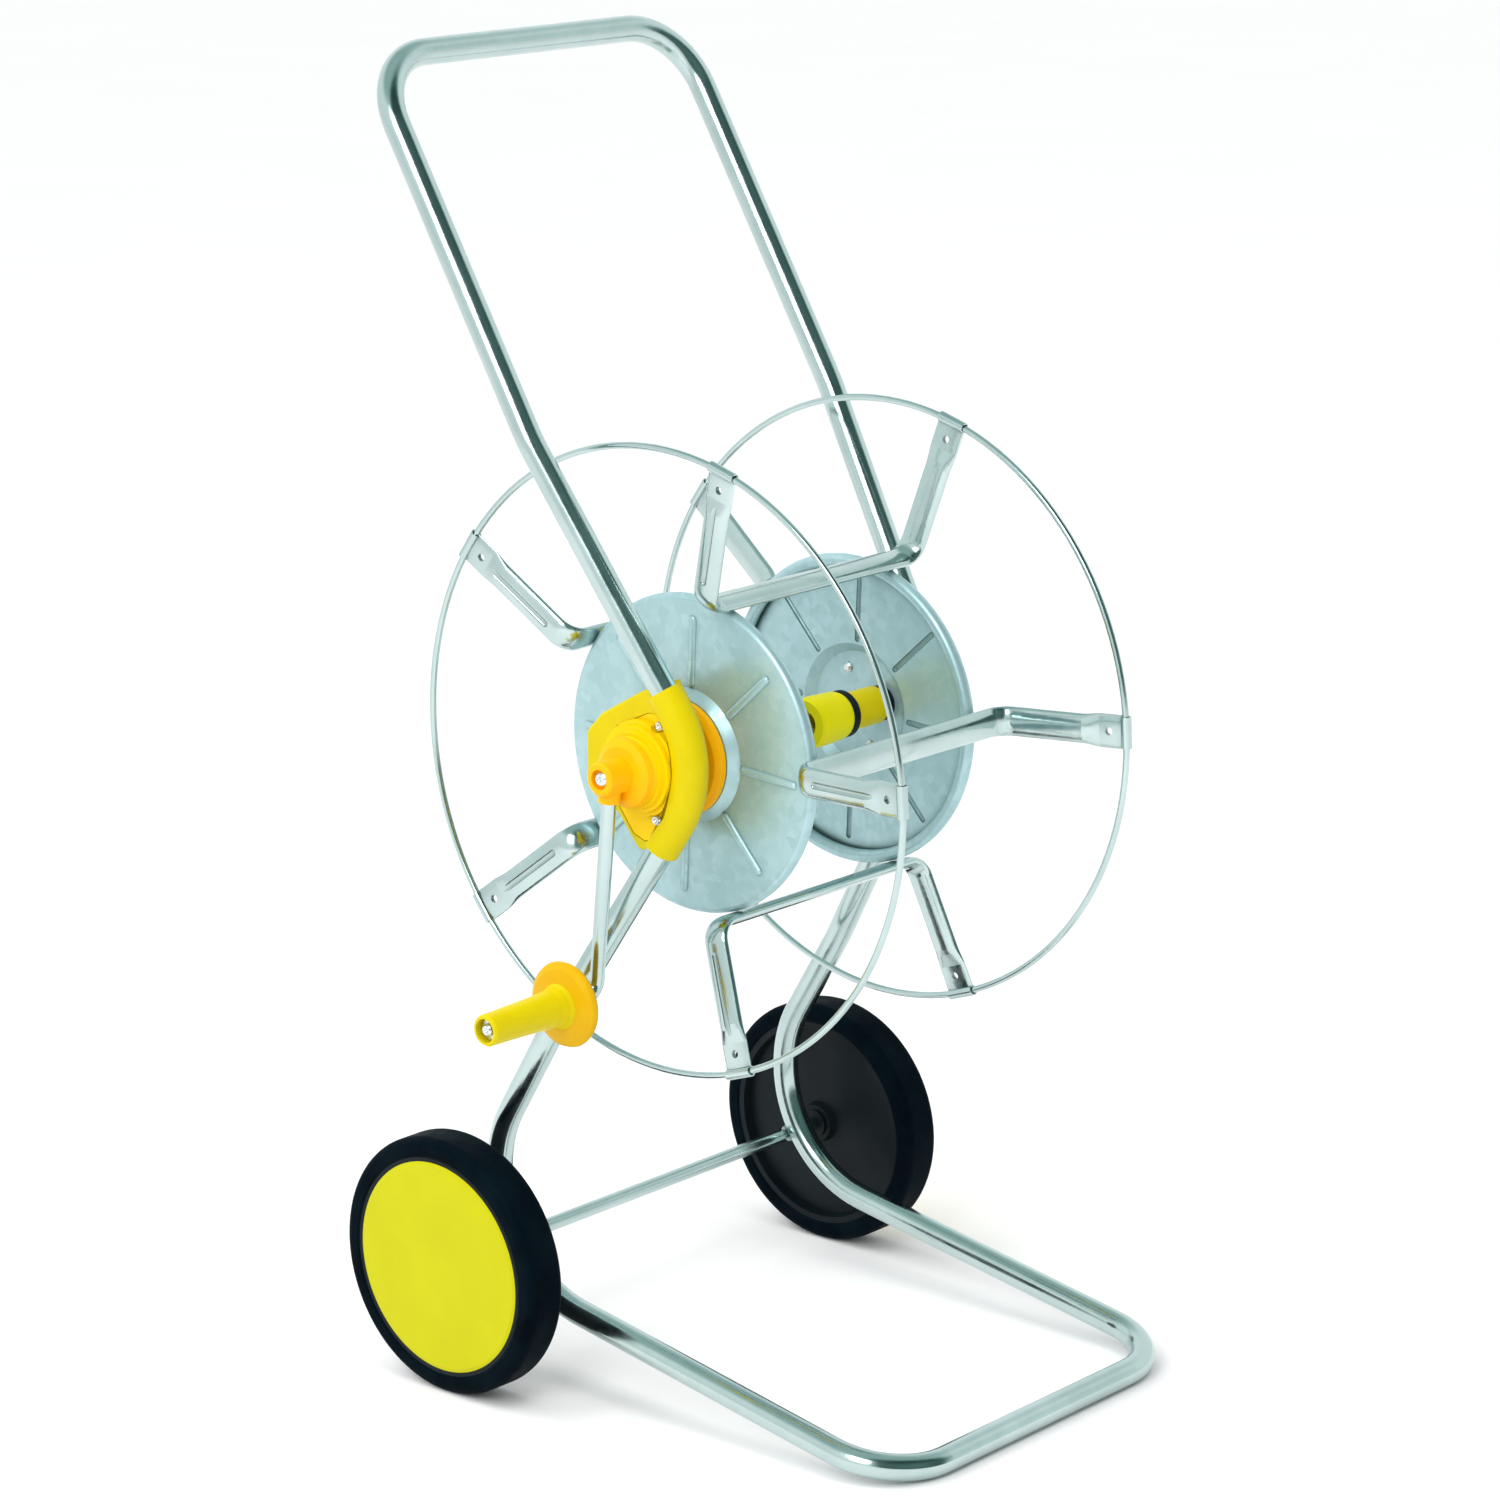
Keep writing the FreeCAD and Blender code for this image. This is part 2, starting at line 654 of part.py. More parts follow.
def make_bearings():
    """The bush in each bracket and the stepped cover over it."""
    bush = turned("hub_bush_left", [
        ("dims.bracket_inner - 2", "dims.journal_radius + dims.running_gap"),
        ("dims.bracket_inner - 2", "22"),
        ("dims.bracket_inner", "22"),
        ("dims.bracket_inner", "19"),
        ("dims.cover_seat", "19"),
        ("dims.cover_seat", "dims.journal_radius + dims.running_gap"),
    ])
    pair(bush, "hub_bush")
    face = "dims.bracket_outer"
    steps = turned("cover_steps", [
        ("dims.cover_seat", "dims.journal_radius + 0.6"),
        ("dims.cover_seat", "28"),
        (f"{face} + 0.3", "28"),
        (f"{face} + 0.3", "36"),
        (f"{face} + 5", "35.5"),
        (f"{face} + 5", "32.5"),
        (f"{face} + 9", "32"),
        (f"{face} + 9", "29"),
        (f"{face} + 13", "28.5"),
        (f"{face} + 13", "25.5"),
        ("dims.cover_outer", "24.5"),
        ("dims.cover_outer", "dims.journal_radius + 0.6"),
    ])
    release(steps)
    bore = cylinder("cover_bore", "dims.journal_radius + 0.6", "40", ("dims.cover_seat - 10", *HUB_LINE))
    drills = [bore, swept("cover_relief", nose_path(5.0), "dims.ridge_radius + 0.3")]
    for number, spot in enumerate(screw_spots(), start=1):
        drills.append(cylinder(f"cover_hole_{number}", "2.5", "40", ("dims.cover_seat - 10", *spot)))
        drills.append(cylinder(f"cover_head_seat_{number}", "4.7", "40", ("dims.cover_seat + 2.55", *spot)))
    whole = fuse("cover_whole", [leaf("cover_plate", "dims.cover_seat", "2.5"), steps])
    pair(stand(cut("bearing_cover_source", whole, fuse("cover_drills", drills))), "bearing_cover")


def make_water_inlet():
    """The fixed inlet nipple of the left hub, and its seal ring."""
    nipple = turned("water_inlet", [
        ("dims.cover_outer - 27", "4"),
        ("dims.cover_outer - 27", "6.9"),
        ("dims.cover_outer - 22", "6.9"),
        ("dims.cover_outer - 22", "5.2"),
        ("dims.cover_outer - 20", "5.2"),
        ("dims.cover_outer - 20", "6.9"),
        ("dims.cover_outer", "6.9"),
        ("dims.cover_outer", "22"),
        ("dims.cover_outer + 3", "22"),
        ("dims.cover_outer + 4", "13"),
        ("dims.cover_outer + 12", "13"),
        ("dims.cover_outer + 13", "8"),
        ("dims.cover_outer + 29", "8"),
        ("dims.cover_outer + 30", "7"),
        ("dims.cover_outer + 34", "7"),
        ("dims.cover_outer + 35", "6"),
        ("dims.cover_outer + 35", "4"),
    ])
    keep(nipple, "water_inlet")
    seal = doc.addObject("Part::Torus", "inlet_seal")
    seal.Radius1 = 6.08
    seal.Radius2 = 0.85
    stand(seal, *HUB_LINE, rotation=ALONG_X)
    seal.setExpression("Placement.Base.x", f"{SHIFT_X} + dims.cover_outer - 21")
    keep(seal, "inlet_seal")


# ---------------------------------------------------------------- drum


def make_discs():
    """Pressed side discs: dished boss, eight radial ribs, rolled rim, hub holes."""
    boss_face = "dims.disc_half + dims.boss_height"
    plate = turned("disc_plate", [
        (boss_face, "12"),
        (boss_face, "dims.boss_radius"),
        ("dims.disc_half", "dims.boss_radius + 7"),
        ("dims.disc_half", "dims.disc_radius - 4"),
        ("dims.disc_half + dims.disc_sheet", "dims.disc_radius - 4"),
        ("dims.disc_half + dims.disc_sheet", "dims.boss_radius + 7.6"),
        (f"{boss_face} + dims.disc_sheet", "dims.boss_radius + 0.6"),
        (f"{boss_face} + dims.disc_sheet", "12"),
    ])
    release(plate, ("0", "0"))
    roll = doc.addObject("Part::Torus", "disc_roll")
    roll.Placement = Placement(Vector(), ALONG_X)
    bind(roll, Radius1="dims.disc_radius - dims.disc_roll", Radius2="dims.disc_roll")
    roll.setExpression("Placement.Base.x", "dims.disc_half + dims.disc_sheet - dims.disc_roll")
    ribs = [disc_bead(f"rib_{number}", number, 0.0) for number in range(RIB_COUNT)]
    grooves = [disc_bead(f"groove_{number}", number, size("dims.disc_sheet")) for number in range(RIB_COUNT)]
    start = "dims.disc_half - 20"
    inside = cylinder("disc_inside", "dims.disc_radius + 20", "20", (start, "0", "0"))
    ridged = cut("disc_ribs", fuse("disc_rib_beads", ribs), inside)
    holes = [cylinder("outlet_hole", "9.5", "60", (start, "-dims.outlet_forward", "dims.outlet_up"))]
    for number, angle in enumerate(HUB_SCREW_ANGLES):
        spot = (f"-dims.hub_screw_circle * cos({angle})", f"dims.hub_screw_circle * sin({angle})")
        holes.append(cylinder(f"hub_screw_hole_{number}", "2.2", "60", (start, *spot)))
    whole = fuse("disc_whole", [plate, ridged, roll])
    pressed = cut("disc_pressed", whole, fuse("disc_cuts", grooves + holes))
    pair(stand(pressed, *HUB_LINE), "disc")


def capsule(name, radius, start, heading, run):
    """A rod with round ends."""
    ends = []
    for number, spot in enumerate((start, start + heading * run)):
        ball = doc.addObject("Part::Sphere", f"{name}_end_{number}")
        ball.Radius = radius
        ball.Placement = Placement(spot, Rotation())
        ends.append(ball)
    return fuse(name, [rod_from(f"{name}_rod", radius, run, start, heading)] + ends)


def disc_bead(name, number, thinner):
    """A rod with round ends lying along one radius of a disc: a rib, or the hollow behind it."""
    angle = math.radians(FIRST_RIB_ANGLE + number * 360.0 / RIB_COUNT)
    heading = Vector(0, -math.cos(angle), math.sin(angle))
    level = size("dims.disc_half + dims.disc_sheet + dims.rib_height - dims.rib_radius")
    start = Vector(level, 0, 0) + heading * size("dims.rib_start")
    run = size("dims.rib_end - dims.rib_start")
    return capsule(name, size("dims.rib_radius") - thinner, start, heading, run)


def drum_spoke(side):
    """Foot, heading and length of a spoke of the first drum tube, drawn pointing up."""
    foot = Vector(size("dims.drum_corner"), 0, size("dims.disc_radius + dims.drum_thick + 0.2"))
    tip = Vector(size("dims.ring_half"), 0, size("dims.ring_radius"))
    heading = (tip - foot).normalize()
    foot.x *= side
    heading.x *= side
    return foot, heading, (tip - Vector(abs(foot.x), 0, foot.z)).Length


def oval(name, spot, heading, wide, thick):
    """An oval section square to a heading in the XZ plane, with its width along Y."""
    section = doc.addObject("Part::Ellipse", name)
    bind(section, MajorRadius=wide, MinorRadius=thick)
    section.Placement = Placement(spot, Rotation(Vector(0, 1, 0), Vector(), heading, "ZXY"))
    return section


def oval_bar(name, path, thinner="0 * dims.drum_wall"):
    """An oval bar of the drum tube's section along a path in the XZ plane."""
    line = doc.addObject("Part::Feature", f"{name}_path")
    line.Shape = path
    first = path.Edges[0]
    start = first.valueAt(first.FirstParameter)
    heading = first.tangentAt(first.FirstParameter)
    bar = doc.addObject("Part::Sweep", name)
    bar.Sections = [oval(f"{name}_section", start, heading,
                         f"dims.drum_wide - {thinner}", f"dims.drum_thick - {thinner}")]
    bar.Spine = (line, [f"Edge{n + 1}" for n in range(len(path.Edges))])
    bar.Solid = True
    bar.Frenet = False
    return bar


def pressed_tip(name, side, start):
    """The end of a spoke from a distance along it, pressed from the tube's oval to flat."""
    foot, heading, length = drum_spoke(side)
    loft = doc.addObject("Part::Loft", name)
    loft.Sections = [
        oval(f"{name}_open", foot + heading * start, heading, "dims.drum_wide", "dims.drum_thick"),
        oval(f"{name}_closing", foot + heading * (start + 4), heading, "dims.drum_wide + 0.3", "4"),
        oval(f"{name}_shut", foot + heading * (length - 22), heading, "dims.tip_wide", "dims.tip_thick"),
        oval(f"{name}_tip", foot + heading * (length - 2), heading, "dims.tip_wide", "dims.tip_thick"),
    ]
    loft.Solid = True
    loft.Ruled = True
    return loft


def spoke_groove(name, side, grow=0.0):
    """A rod with round ends, laid along the outer face of a spoke, to press its groove."""
    foot, heading, length = drum_spoke(side)
    outwards = Vector(0, 1, 0).cross(heading) * side
    radius = size("dims.groove_radius")
    sunk = size("dims.drum_thick") + radius - size("dims.groove_depth")
    start = foot + heading * size("dims.groove_before") + outwards * sunk
    run = length - size("dims.groove_before + dims.groove_beyond")
    return capsule(name, radius + grow, start, heading, run)


def drum_tube_shape():
    """Outside and hollow of one drum tube, drawn with its spokes pointing up."""
    round_end = drum_spoke(1)[2] - size("dims.tip_length")
    points = []
    for side in (1, -1):
        foot, heading = drum_spoke(side)[:2]
        points += [foot + heading * round_end, foot][::side]
    path = rounded_path(points, [size("dims.drum_bend")] * 2)
    solids = [oval_bar("drum_bar", path)]
    drills = []
    deeper = []
    across = Vector(0, 1, 0)
    for side in (1, -1):
        foot, heading, length = drum_spoke(side)
        tip = foot + heading * length
        half = size("dims.tip_wide") - 1
        solids.append(pressed_tip(f"drum_tip_{side + 1}", side, round_end))
        eye = rod_from(f"drum_eye_{side + 1}", "dims.ring_eye", 2 * half, tip - across * half, across)
        solids.append(eye)
        wire = rod_from(f"drum_wire_{side + 1}", "dims.ring_wire + 0.45", 60, tip - across * 30, across)
        drills.append(wire)
        through = across.cross(heading)
        hole_spot = foot + heading * (length - size("dims.tip_hole")) - through * 20
        drills.append(rod_from(f"drum_hole_{side + 1}", "dims.tip_hole_radius", 40, hole_spot, through))
        drills.append(spoke_groove(f"drum_groove_{side + 1}", side))
        deeper.append(spoke_groove(f"drum_dent_{side + 1}", side, size("dims.drum_wall")))
    hollow = cut("drum_hollow", oval_bar("drum_inside", path, "dims.drum_wall"), fuse("drum_dents", deeper))
    return fuse("drum_tube_whole", solids), fuse("drum_tube_drills", drills + [hollow])


def make_drum_tubes():
    """Five bent oval tubes: a drum bar with a spoke at each end, pressed flat and curled on the rings."""
    whole, drills = drum_tube_shape()
    for number, angle in enumerate(DRUM_ANGLES, start=1):
        stem = f"drum_tube_{number}"
        turn = Rotation(Vector(1, 0, 0), 90.0 - angle)
        keep(stand(cut(stem, whole, drills), *HUB_LINE, rotation=turn), stem)


def make_rim_rings():
    """The two round wire rings of the reel."""
    for stem, sign in (("rim_ring_left", ""), ("rim_ring_right", "-")):
        ring = doc.addObject("Part::Torus", stem)
        bind(ring, Radius1="dims.ring_radius", Radius2="dims.ring_wire")
        stand(ring, *HUB_LINE, rotation=ALONG_X)
        ring.setExpression("Placement.Base.x", f"{SHIFT_X} + {sign}dims.ring_half")
        keep(ring, stem)


# ---------------------------------------------------------------- hubs, outlet and crank


def flange_profile(bore):
    """Profile of a hub flange and its journal, with a bore of a given radius open outwards."""
    seat = "dims.disc_half + dims.boss_height + dims.disc_sheet"
    return [
        (seat, "0"),
        (seat, "41"),
        (f"{seat} + 1.5", "43.5"),
        (f"{seat} + 6", "43.5"),
        (f"{seat} + 9", "39"),
        (f"{seat} + 10", "24"),
        ("dims.bracket_inner - 2.4", "22"),
        ("dims.bracket_inner - 2.4", "dims.journal_radius"),
        ("dims.cover_outer - 0.4", "dims.journal_radius"),
        ("dims.cover_outer - 0.4", bore),
        ("dims.cover_outer - 36", bore),
        ("dims.cover_outer - 36", "0"),
    ]


def flange_drills(stem):
    """Screw holes of a hub flange, and the notches in its rim for a pin spanner."""
    drills = []
    for number in range(NOTCH_COUNT):
        spot = around_hub("dims.notch_circle", FIRST_NOTCH_ANGLE + number * 360 / NOTCH_COUNT)
        start = "dims.disc_half + dims.boss_height + dims.disc_sheet + 4"
        drills.append(cylinder(f"{stem}_notch_{number}", "2.6", "10", (start, *spot)))
    for number, angle in enumerate(HUB_SCREW_ANGLES):
        spot = around_hub("dims.hub_screw_circle", angle)
        start = "dims.disc_half + dims.boss_height - 5"
        drills.append(cylinder(f"{stem}_hole_{number}", "2.2", "14", (start, *spot)))
    return drills


def make_hub_flanges():
    """The orange flanged journals: the left one carries water, the right one takes the crank."""
    left = turned("hub_flange_left_turned", flange_profile("7"))
    release(left)
    seat = "dims.disc_half + dims.boss_height + dims.disc_sheet"
    gallery_start = Vector(size(f"{seat} + 7"), size(HUB_LINE[0]), size(HUB_LINE[1]))
    towards_outlet = Vector(0, -size("dims.outlet_forward"), size("dims.outlet_up"))
    gallery = rod_from("water_gallery", 3.5, 23, gallery_start, towards_outlet)
    riser = cylinder("water_riser", "4", "9", (f"{seat} - 1", *OUTLET_LINE))
    neck = cylinder("water_neck", "3.5", "30", (f"{seat} + 5", *HUB_LINE))
    drills = fuse("left_flange_drills", flange_drills("left_flange") + [gallery, riser, neck])
    keep(stand(cut("hub_flange_left", left, drills)), "hub_flange_left")
    right = turned("hub_flange_right_turned", flange_profile("dims.crank_socket"))
    release(right)
    pilot = cylinder("crank_pilot", "2.45", "13", ("dims.cover_outer - 48", *HUB_LINE))
    drills = fuse("right_flange_drills", flange_drills("right_flange") + [pilot])
    source = stand(cut("hub_flange_right_source", right, drills))
    mirrored(source, "hub_flange_right")


def make_hub_screws():
    """Three screws from inside the drum into each hub flange."""
    face = "dims.disc_half + dims.boss_height"
    screws = []
    for number, angle in enumerate(HUB_SCREW_ANGLES):
        screw = turned(f"hub_screw_{number}", [
            (f"{face} - 2.4", "0"),
            (f"{face} - 2.4", "2.4"),
            (f"{face} - 1.2", "4"),
            (face, "4"),
            (face, "2.15"),
            (f"{face} + 8", "2.15"),
            (f"{face} + 8", "0"),
        ], around_hub("dims.hub_screw_circle", angle))
        screws += [screw, mirror_tool(screw)]
    keep(group("hub_screws", screws), "hub_screws")


def make_outlet():
    """The hose connector inside the drum, on the left disc's boss."""
    face = "dims.disc_half + dims.boss_height"
    nut = turned("outlet_nut", [
        (f"{face} + 8", "3"),
        (f"{face} + 8", "3.9"),
        (f"{face} + dims.disc_sheet", "3.9"),
        (f"{face} + dims.disc_sheet", "9"),
        (face, "9"),
        (face, "13.5"),
        (f"{face} - 6", "13.5"),
        (f"{face} - 7", "12"),
        (f"{face} - 7", "8"),
        (f"{face} - 20", "8"),
        (f"{face} - 20", "3"),
    ], OUTLET_LINE)
    keep(nut, "outlet_nut")
    body = turned("outlet_body", [
        (f"{face} - 7.1", "8.1"),
        (f"{face} - 7.1", "12.5"),
        (f"{face} - 9", "14.5"),
        (f"{face} - 40", "14.5"),
        (f"{face} - 43", "12"),
        (f"{face} - 74", "12"),
        (f"{face} - 74", "7.5"),
        (f"{face} - 22", "7.5"),
        (f"{face} - 20.2", "8.1"),
    ], OUTLET_LINE)
    keep(body, "outlet_body")
    band = turned("outlet_band", [
        (f"{face} - 43.2", "12.1"),
        (f"{face} - 43.2", "17"),
        (f"{face} - 44.5", "18"),
        (f"{face} - 51", "18"),
        (f"{face} - 51", "12.1"),
    ], OUTLET_LINE)
    keep(band, "outlet_band")
    collar = turned("outlet_collar", [
        (f"{face} - 51.1", "12.1"),
        (f"{face} - 51.1", "17.5"),
        (f"{face} - 54", "18.5"),
        (f"{face} - 78", "19.5"),
        (f"{face} - 85", "19"),
        (f"{face} - 87", "17.5"),
        (f"{face} - 87", "10"),
        (f"{face} - 76", "10"),
        (f"{face} - 74.5", "12.1"),
    ], OUTLET_LINE)
    keep(collar, "outlet_collar")


def crank_direction():
    """From the reel axis along the crank arm, in the trolley's frame."""
    angle = math.radians(size("dims.crank_angle"))
    return Vector(0, -math.cos(angle), -math.sin(angle))


def make_crank():
    """Crank hub, arm and screw, drawn on the left and mirrored to the right."""
    axis_point = Vector(0, size("dims.hub_rear"), size("dims.hub_height"))
    along = crank_direction()
    plane = Vector(size("dims.crank_plane"), 0, 0)
    turned_hub = turned("crank_hub_turned", [
        ("dims.cover_outer + 0.4", "0"),
        ("dims.cover_outer + 0.4", "25"),
        ("dims.cover_outer + 1.5", "26"),
        ("dims.cover_outer + 6", "25"),
        ("dims.cover_outer + 9", "20"),
        ("dims.cover_outer + 10", "13.5"),
        ("dims.crank_plane + 11", "12.5"),
        ("dims.crank_plane + 12.5", "11"),
        ("dims.crank_plane + 12.5", "7.5"),
        ("dims.crank_plane + 8.5", "7.5"),
        ("dims.crank_plane + 8.5", "0"),
    ])
    release(turned_hub)
    spigot = cylinder("crank_spigot", "dims.crank_socket - dims.running_gap", "30",
                      ("dims.cover_outer - 28", *HUB_LINE))
    sleeve = rod_from("crank_sleeve", 8.2, 19, axis_point + plane, along)
    rod_hole = rod_from("crank_rod_hole", "dims.crank_rod", 40, axis_point + plane + along * 3.2, along)
    screw_hole = cylinder("crank_screw_hole", "2.5", "80", ("dims.cover_outer - 29", *HUB_LINE))
    solid = fuse("crank_hub_solid", [turned_hub, spigot, sleeve])
    source = cut("crank_hub_source", solid, fuse("crank_hub_holes", [rod_hole, screw_hole]))
    mirrored(stand(source), "crank_hub")

    screw = turned("crank_screw_source", [
        ("dims.cover_outer - 47", "0"),
        ("dims.cover_outer - 47", "2.4"),
        ("dims.crank_plane + 8.6", "2.4"),
        ("dims.crank_plane + 8.6", "5.5"),
        ("dims.crank_plane + 10.5", "5.5"),
        ("dims.crank_plane + 11.8", "4"),
        ("dims.crank_plane + 11.8", "2"),
        ("dims.crank_plane + 9.8", "0"),
    ])
    mirrored(screw, "crank_screw")

    start = axis_point + plane + along * 3.3
    corner = axis_point + plane + along * size("dims.crank_radius")
    end = corner + Vector(size("dims.grip_end - dims.crank_plane - 6"), 0, 0)
    path = rounded_path([start, corner, end], [size("dims.crank_bend")])
    arm = stand(swept("crank_arm_source", path, "dims.crank_rod"))
    mirrored(arm, "crank_arm")


def make_grip():
    """The turning grip on the crank's spindle, with its flange and its end screw."""
    line = around_hub("dims.crank_radius", "-dims.crank_angle")
    bore = "dims.crank_rod + dims.running_gap"
    flange = turned("grip_flange_source", [
        ("dims.grip_start", bore),
        ("dims.grip_start", "28"),
        ("dims.grip_start + 1.5", "31"),
        ("dims.grip_start + 4", "32"),
        ("dims.grip_start + 6.5", "31"),
        ("dims.grip_start + 9", "27"),
        ("dims.grip_start + 11", "17.5"),
        ("dims.grip_start + 11", bore),
    ], line)
    mirrored(flange, "grip_flange")
    grip = turned("crank_grip_source", [
        ("dims.grip_start + 11", bore),
        ("dims.grip_start + 11", "17"),
        ("dims.grip_start + 14", "15.3"),
        ("dims.grip_start + 20", "14"),
        ("dims.grip_start + 36", "13.1"),
        ("dims.grip_end - 22", "12.2"),
        ("dims.grip_end - 2", "11.8"),
        ("dims.grip_end", "10.6"),
        ("dims.grip_end", "8.8"),
        ("dims.grip_end - 6.5", "8.8"),
        ("dims.grip_end - 6.5", bore),
    ], line)
    mirrored(grip, "crank_grip")
    screw = turned("grip_screw_source", [
        ("dims.grip_end - 6", "0"),
        ("dims.grip_end - 6", "7.6"),
        ("dims.grip_end - 5", "7.6"),
        ("dims.grip_end - 5", "4.8"),
        ("dims.grip_end - 2.5", "4.6"),
        ("dims.grip_end - 1.2", "3.4"),
        ("dims.grip_end - 1.2", "2"),
        ("dims.grip_end - 3", "0"),
    ], line)
    mirrored(screw, "grip_screw")


# ---------------------------------------------------------------- build and write

make_handle_tube()
make_base_tube()
make_frame_couplings()
make_axle()
make_axle_welds()
make_wheels()
make_brackets()
make_bracket_screws()
make_bearings()
make_water_inlet()
make_discs()
make_drum_tubes()
make_rim_rings()
make_hub_flanges()
make_hub_screws()
make_outlet()
make_crank()
make_grip()
doc.recompute()

problems = [thing.Label for thing in doc.Objects if {"Invalid", "Error"} & set(thing.State)]
for node in nodes:
    if node.Shape.isNull() or not node.Shape.isValid() or not node.Shape.Solids:
        problems.append(f"{node.Label}: bad shape")
if problems:
    raise SystemExit("failed objects: " + ", ".join(problems))

os.makedirs("parts", exist_ok=True)
for node in nodes:
    node.Shape.exportStep(f"parts/{node.Label}.step")
    print(f"{node.Label}: {len(node.Shape.Solids)} solids, {node.Shape.Volume / 1000:.2f} cm3")
print(len(nodes), "nodes")
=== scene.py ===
"""Looks of the garden hose-reel trolley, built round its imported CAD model."""

import json
import math

import bpy
from mathutils import Matrix, Vector

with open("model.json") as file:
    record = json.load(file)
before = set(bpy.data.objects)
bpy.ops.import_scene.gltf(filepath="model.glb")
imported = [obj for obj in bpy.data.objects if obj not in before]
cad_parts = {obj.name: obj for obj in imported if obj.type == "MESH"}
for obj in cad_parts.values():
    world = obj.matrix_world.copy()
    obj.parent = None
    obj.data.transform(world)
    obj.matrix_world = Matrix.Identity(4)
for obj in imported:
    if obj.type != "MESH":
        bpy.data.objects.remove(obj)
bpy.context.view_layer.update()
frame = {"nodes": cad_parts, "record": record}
nodes = frame["nodes"]


# ---------------------------------------------------------------- node helpers


class Shader:
    """A Principled material and short ways to add nodes to it."""

    def __init__(self, name, colour, metallic=0.0, roughness=0.5, **sockets):
        self.material = bpy.data.materials.new(name)
        self.material.use_nodes = True
        self.tree = self.material.node_tree
        self.surface = self.tree.nodes["Principled BSDF"]
        self.surface.inputs["Base Color"].default_value = (*colour, 1.0)
        self.surface.inputs["Metallic"].default_value = metallic
        self.surface.inputs["Roughness"].default_value = roughness
        for socket, value in sockets.items():
            self.surface.inputs[socket.replace("_", " ")].default_value = value
        self.place = self.node("ShaderNodeTexCoord").outputs["Object"]

    def node(self, kind, **settings):
        made = self.tree.nodes.new(kind)
        for name, value in settings.items():
            setattr(made, name, value)
        return made

    def link(self, source, target):
        self.tree.links.new(source, target)

    def stretched(self, scale):
        """Object coordinates scaled per axis, in repeats per metre."""
        mapping = self.node("ShaderNodeMapping")
        mapping.inputs["Scale"].default_value = scale
        self.link(self.place, mapping.inputs["Vector"])
        return mapping.outputs["Vector"]

    def noise(self, scale, detail=3.0, roughness=0.5, vector=None):
        made = self.node("ShaderNodeTexNoise")
        made.inputs["Scale"].default_value = scale
        made.inputs["Detail"].default_value = detail
        made.inputs["Roughness"].default_value = roughness
        self.link(vector or self.place, made.inputs["Vector"])
        return made.outputs["Fac"]

    def cells(self, scale):
        """The random colour of each crystal-like cell."""
        made = self.node("ShaderNodeTexVoronoi", feature="F1")
        made.inputs["Scale"].default_value = scale
        self.link(self.place, made.inputs["Vector"])
        return made.outputs["Color"]

    def spread(self, value, low, high, start=0.3, end=0.7):
        """Map a value's start-to-end range to low-to-high."""
        made = self.node("ShaderNodeMapRange")
        for socket, number in (("From Min", start), ("From Max", end), ("To Min", low), ("To Max", high)):
            made.inputs[socket].default_value = number
        self.link(value, made.inputs["Value"])
        return made.outputs["Result"]

    def maths(self, operation, first, second):
        made = self.node("ShaderNodeMath", operation=operation)
        for socket, value in zip(made.inputs, (first, second)):
            if isinstance(value, (int, float)):
                socket.default_value = value
            else:
                self.link(value, socket)
        return made.outputs[0]

    def blend(self, factor, first, second):
        """A colour between two, by a factor."""
        made = self.node("ShaderNodeMix", data_type="RGBA")
        self.link(factor, made.inputs["Factor"])
        for socket, colour in ((made.inputs[6], first), (made.inputs[7], second)):
            if isinstance(colour, tuple):
                socket.default_value = (*colour, 1.0)
            else:
                self.link(colour, socket)
        return made.outputs[2]

    def colour(self, output):
        self.link(output, self.surface.inputs["Base Color"])

    def paint_hollow_shade(self, reach, dark, low=0.55, high=0.92):
        """Painted shade: darken the colour where the surface is shut in within a reach, such as grooves
        and corners.
        """
        made = self.node("ShaderNodeAmbientOcclusion", samples=6, only_local=True)
        made.inputs["Distance"].default_value = reach
        colour = self.surface.inputs["Base Color"].links[0].from_socket
        self.colour(self.blend(self.spread(made.outputs["AO"], 0.0, 1.0, low, high), dark, colour))

    def rough(self, output):
        self.link(output, self.surface.inputs["Roughness"])

    def bump(self, height, distance, strength=1.0):
        """Relief of a height field, with its depth in metres. Calls add up."""
        made = self.node("ShaderNodeBump")
        made.inputs["Distance"].default_value = distance
        made.inputs["Strength"].default_value = strength
        self.link(height, made.inputs["Height"])
        normal = self.surface.inputs["Normal"]
        if normal.is_linked:
            self.link(normal.links[0].from_socket, made.inputs["Normal"])
        self.link(made.outputs["Normal"], normal)


# ---------------------------------------------------------------- materials

# How much of the sheet's shading is spangle; the rest is broad cloud.
SPANGLE_SHARE = 0.35


def zinc_tube():
    """Bright zinc plating: cool tint, cloudy passivation, fine drawing marks and painted shade in
    grooves.
    """
    look = Shader("zinc_tube", (0.6, 0.69, 0.68), metallic=1.0, roughness=0.16)
    cloud = look.noise(14.0, 4.0, 0.6)
    fine = look.noise(260.0, 3.0, 0.6)
    look.colour(look.blend(look.spread(cloud, 0.0, 1.0), (0.45, 0.56, 0.55), (0.54, 0.65, 0.64)))
    # Painted shade: the colour darkens to near-black teal in grooves and corners within 6 mm.
    look.paint_hollow_shade(0.006, (0.05, 0.09, 0.09))
    look.rough(look.spread(look.noise(45.0, 5.0, 0.65), 0.11, 0.24))
    look.bump(fine, 0.00003)
    return look.material


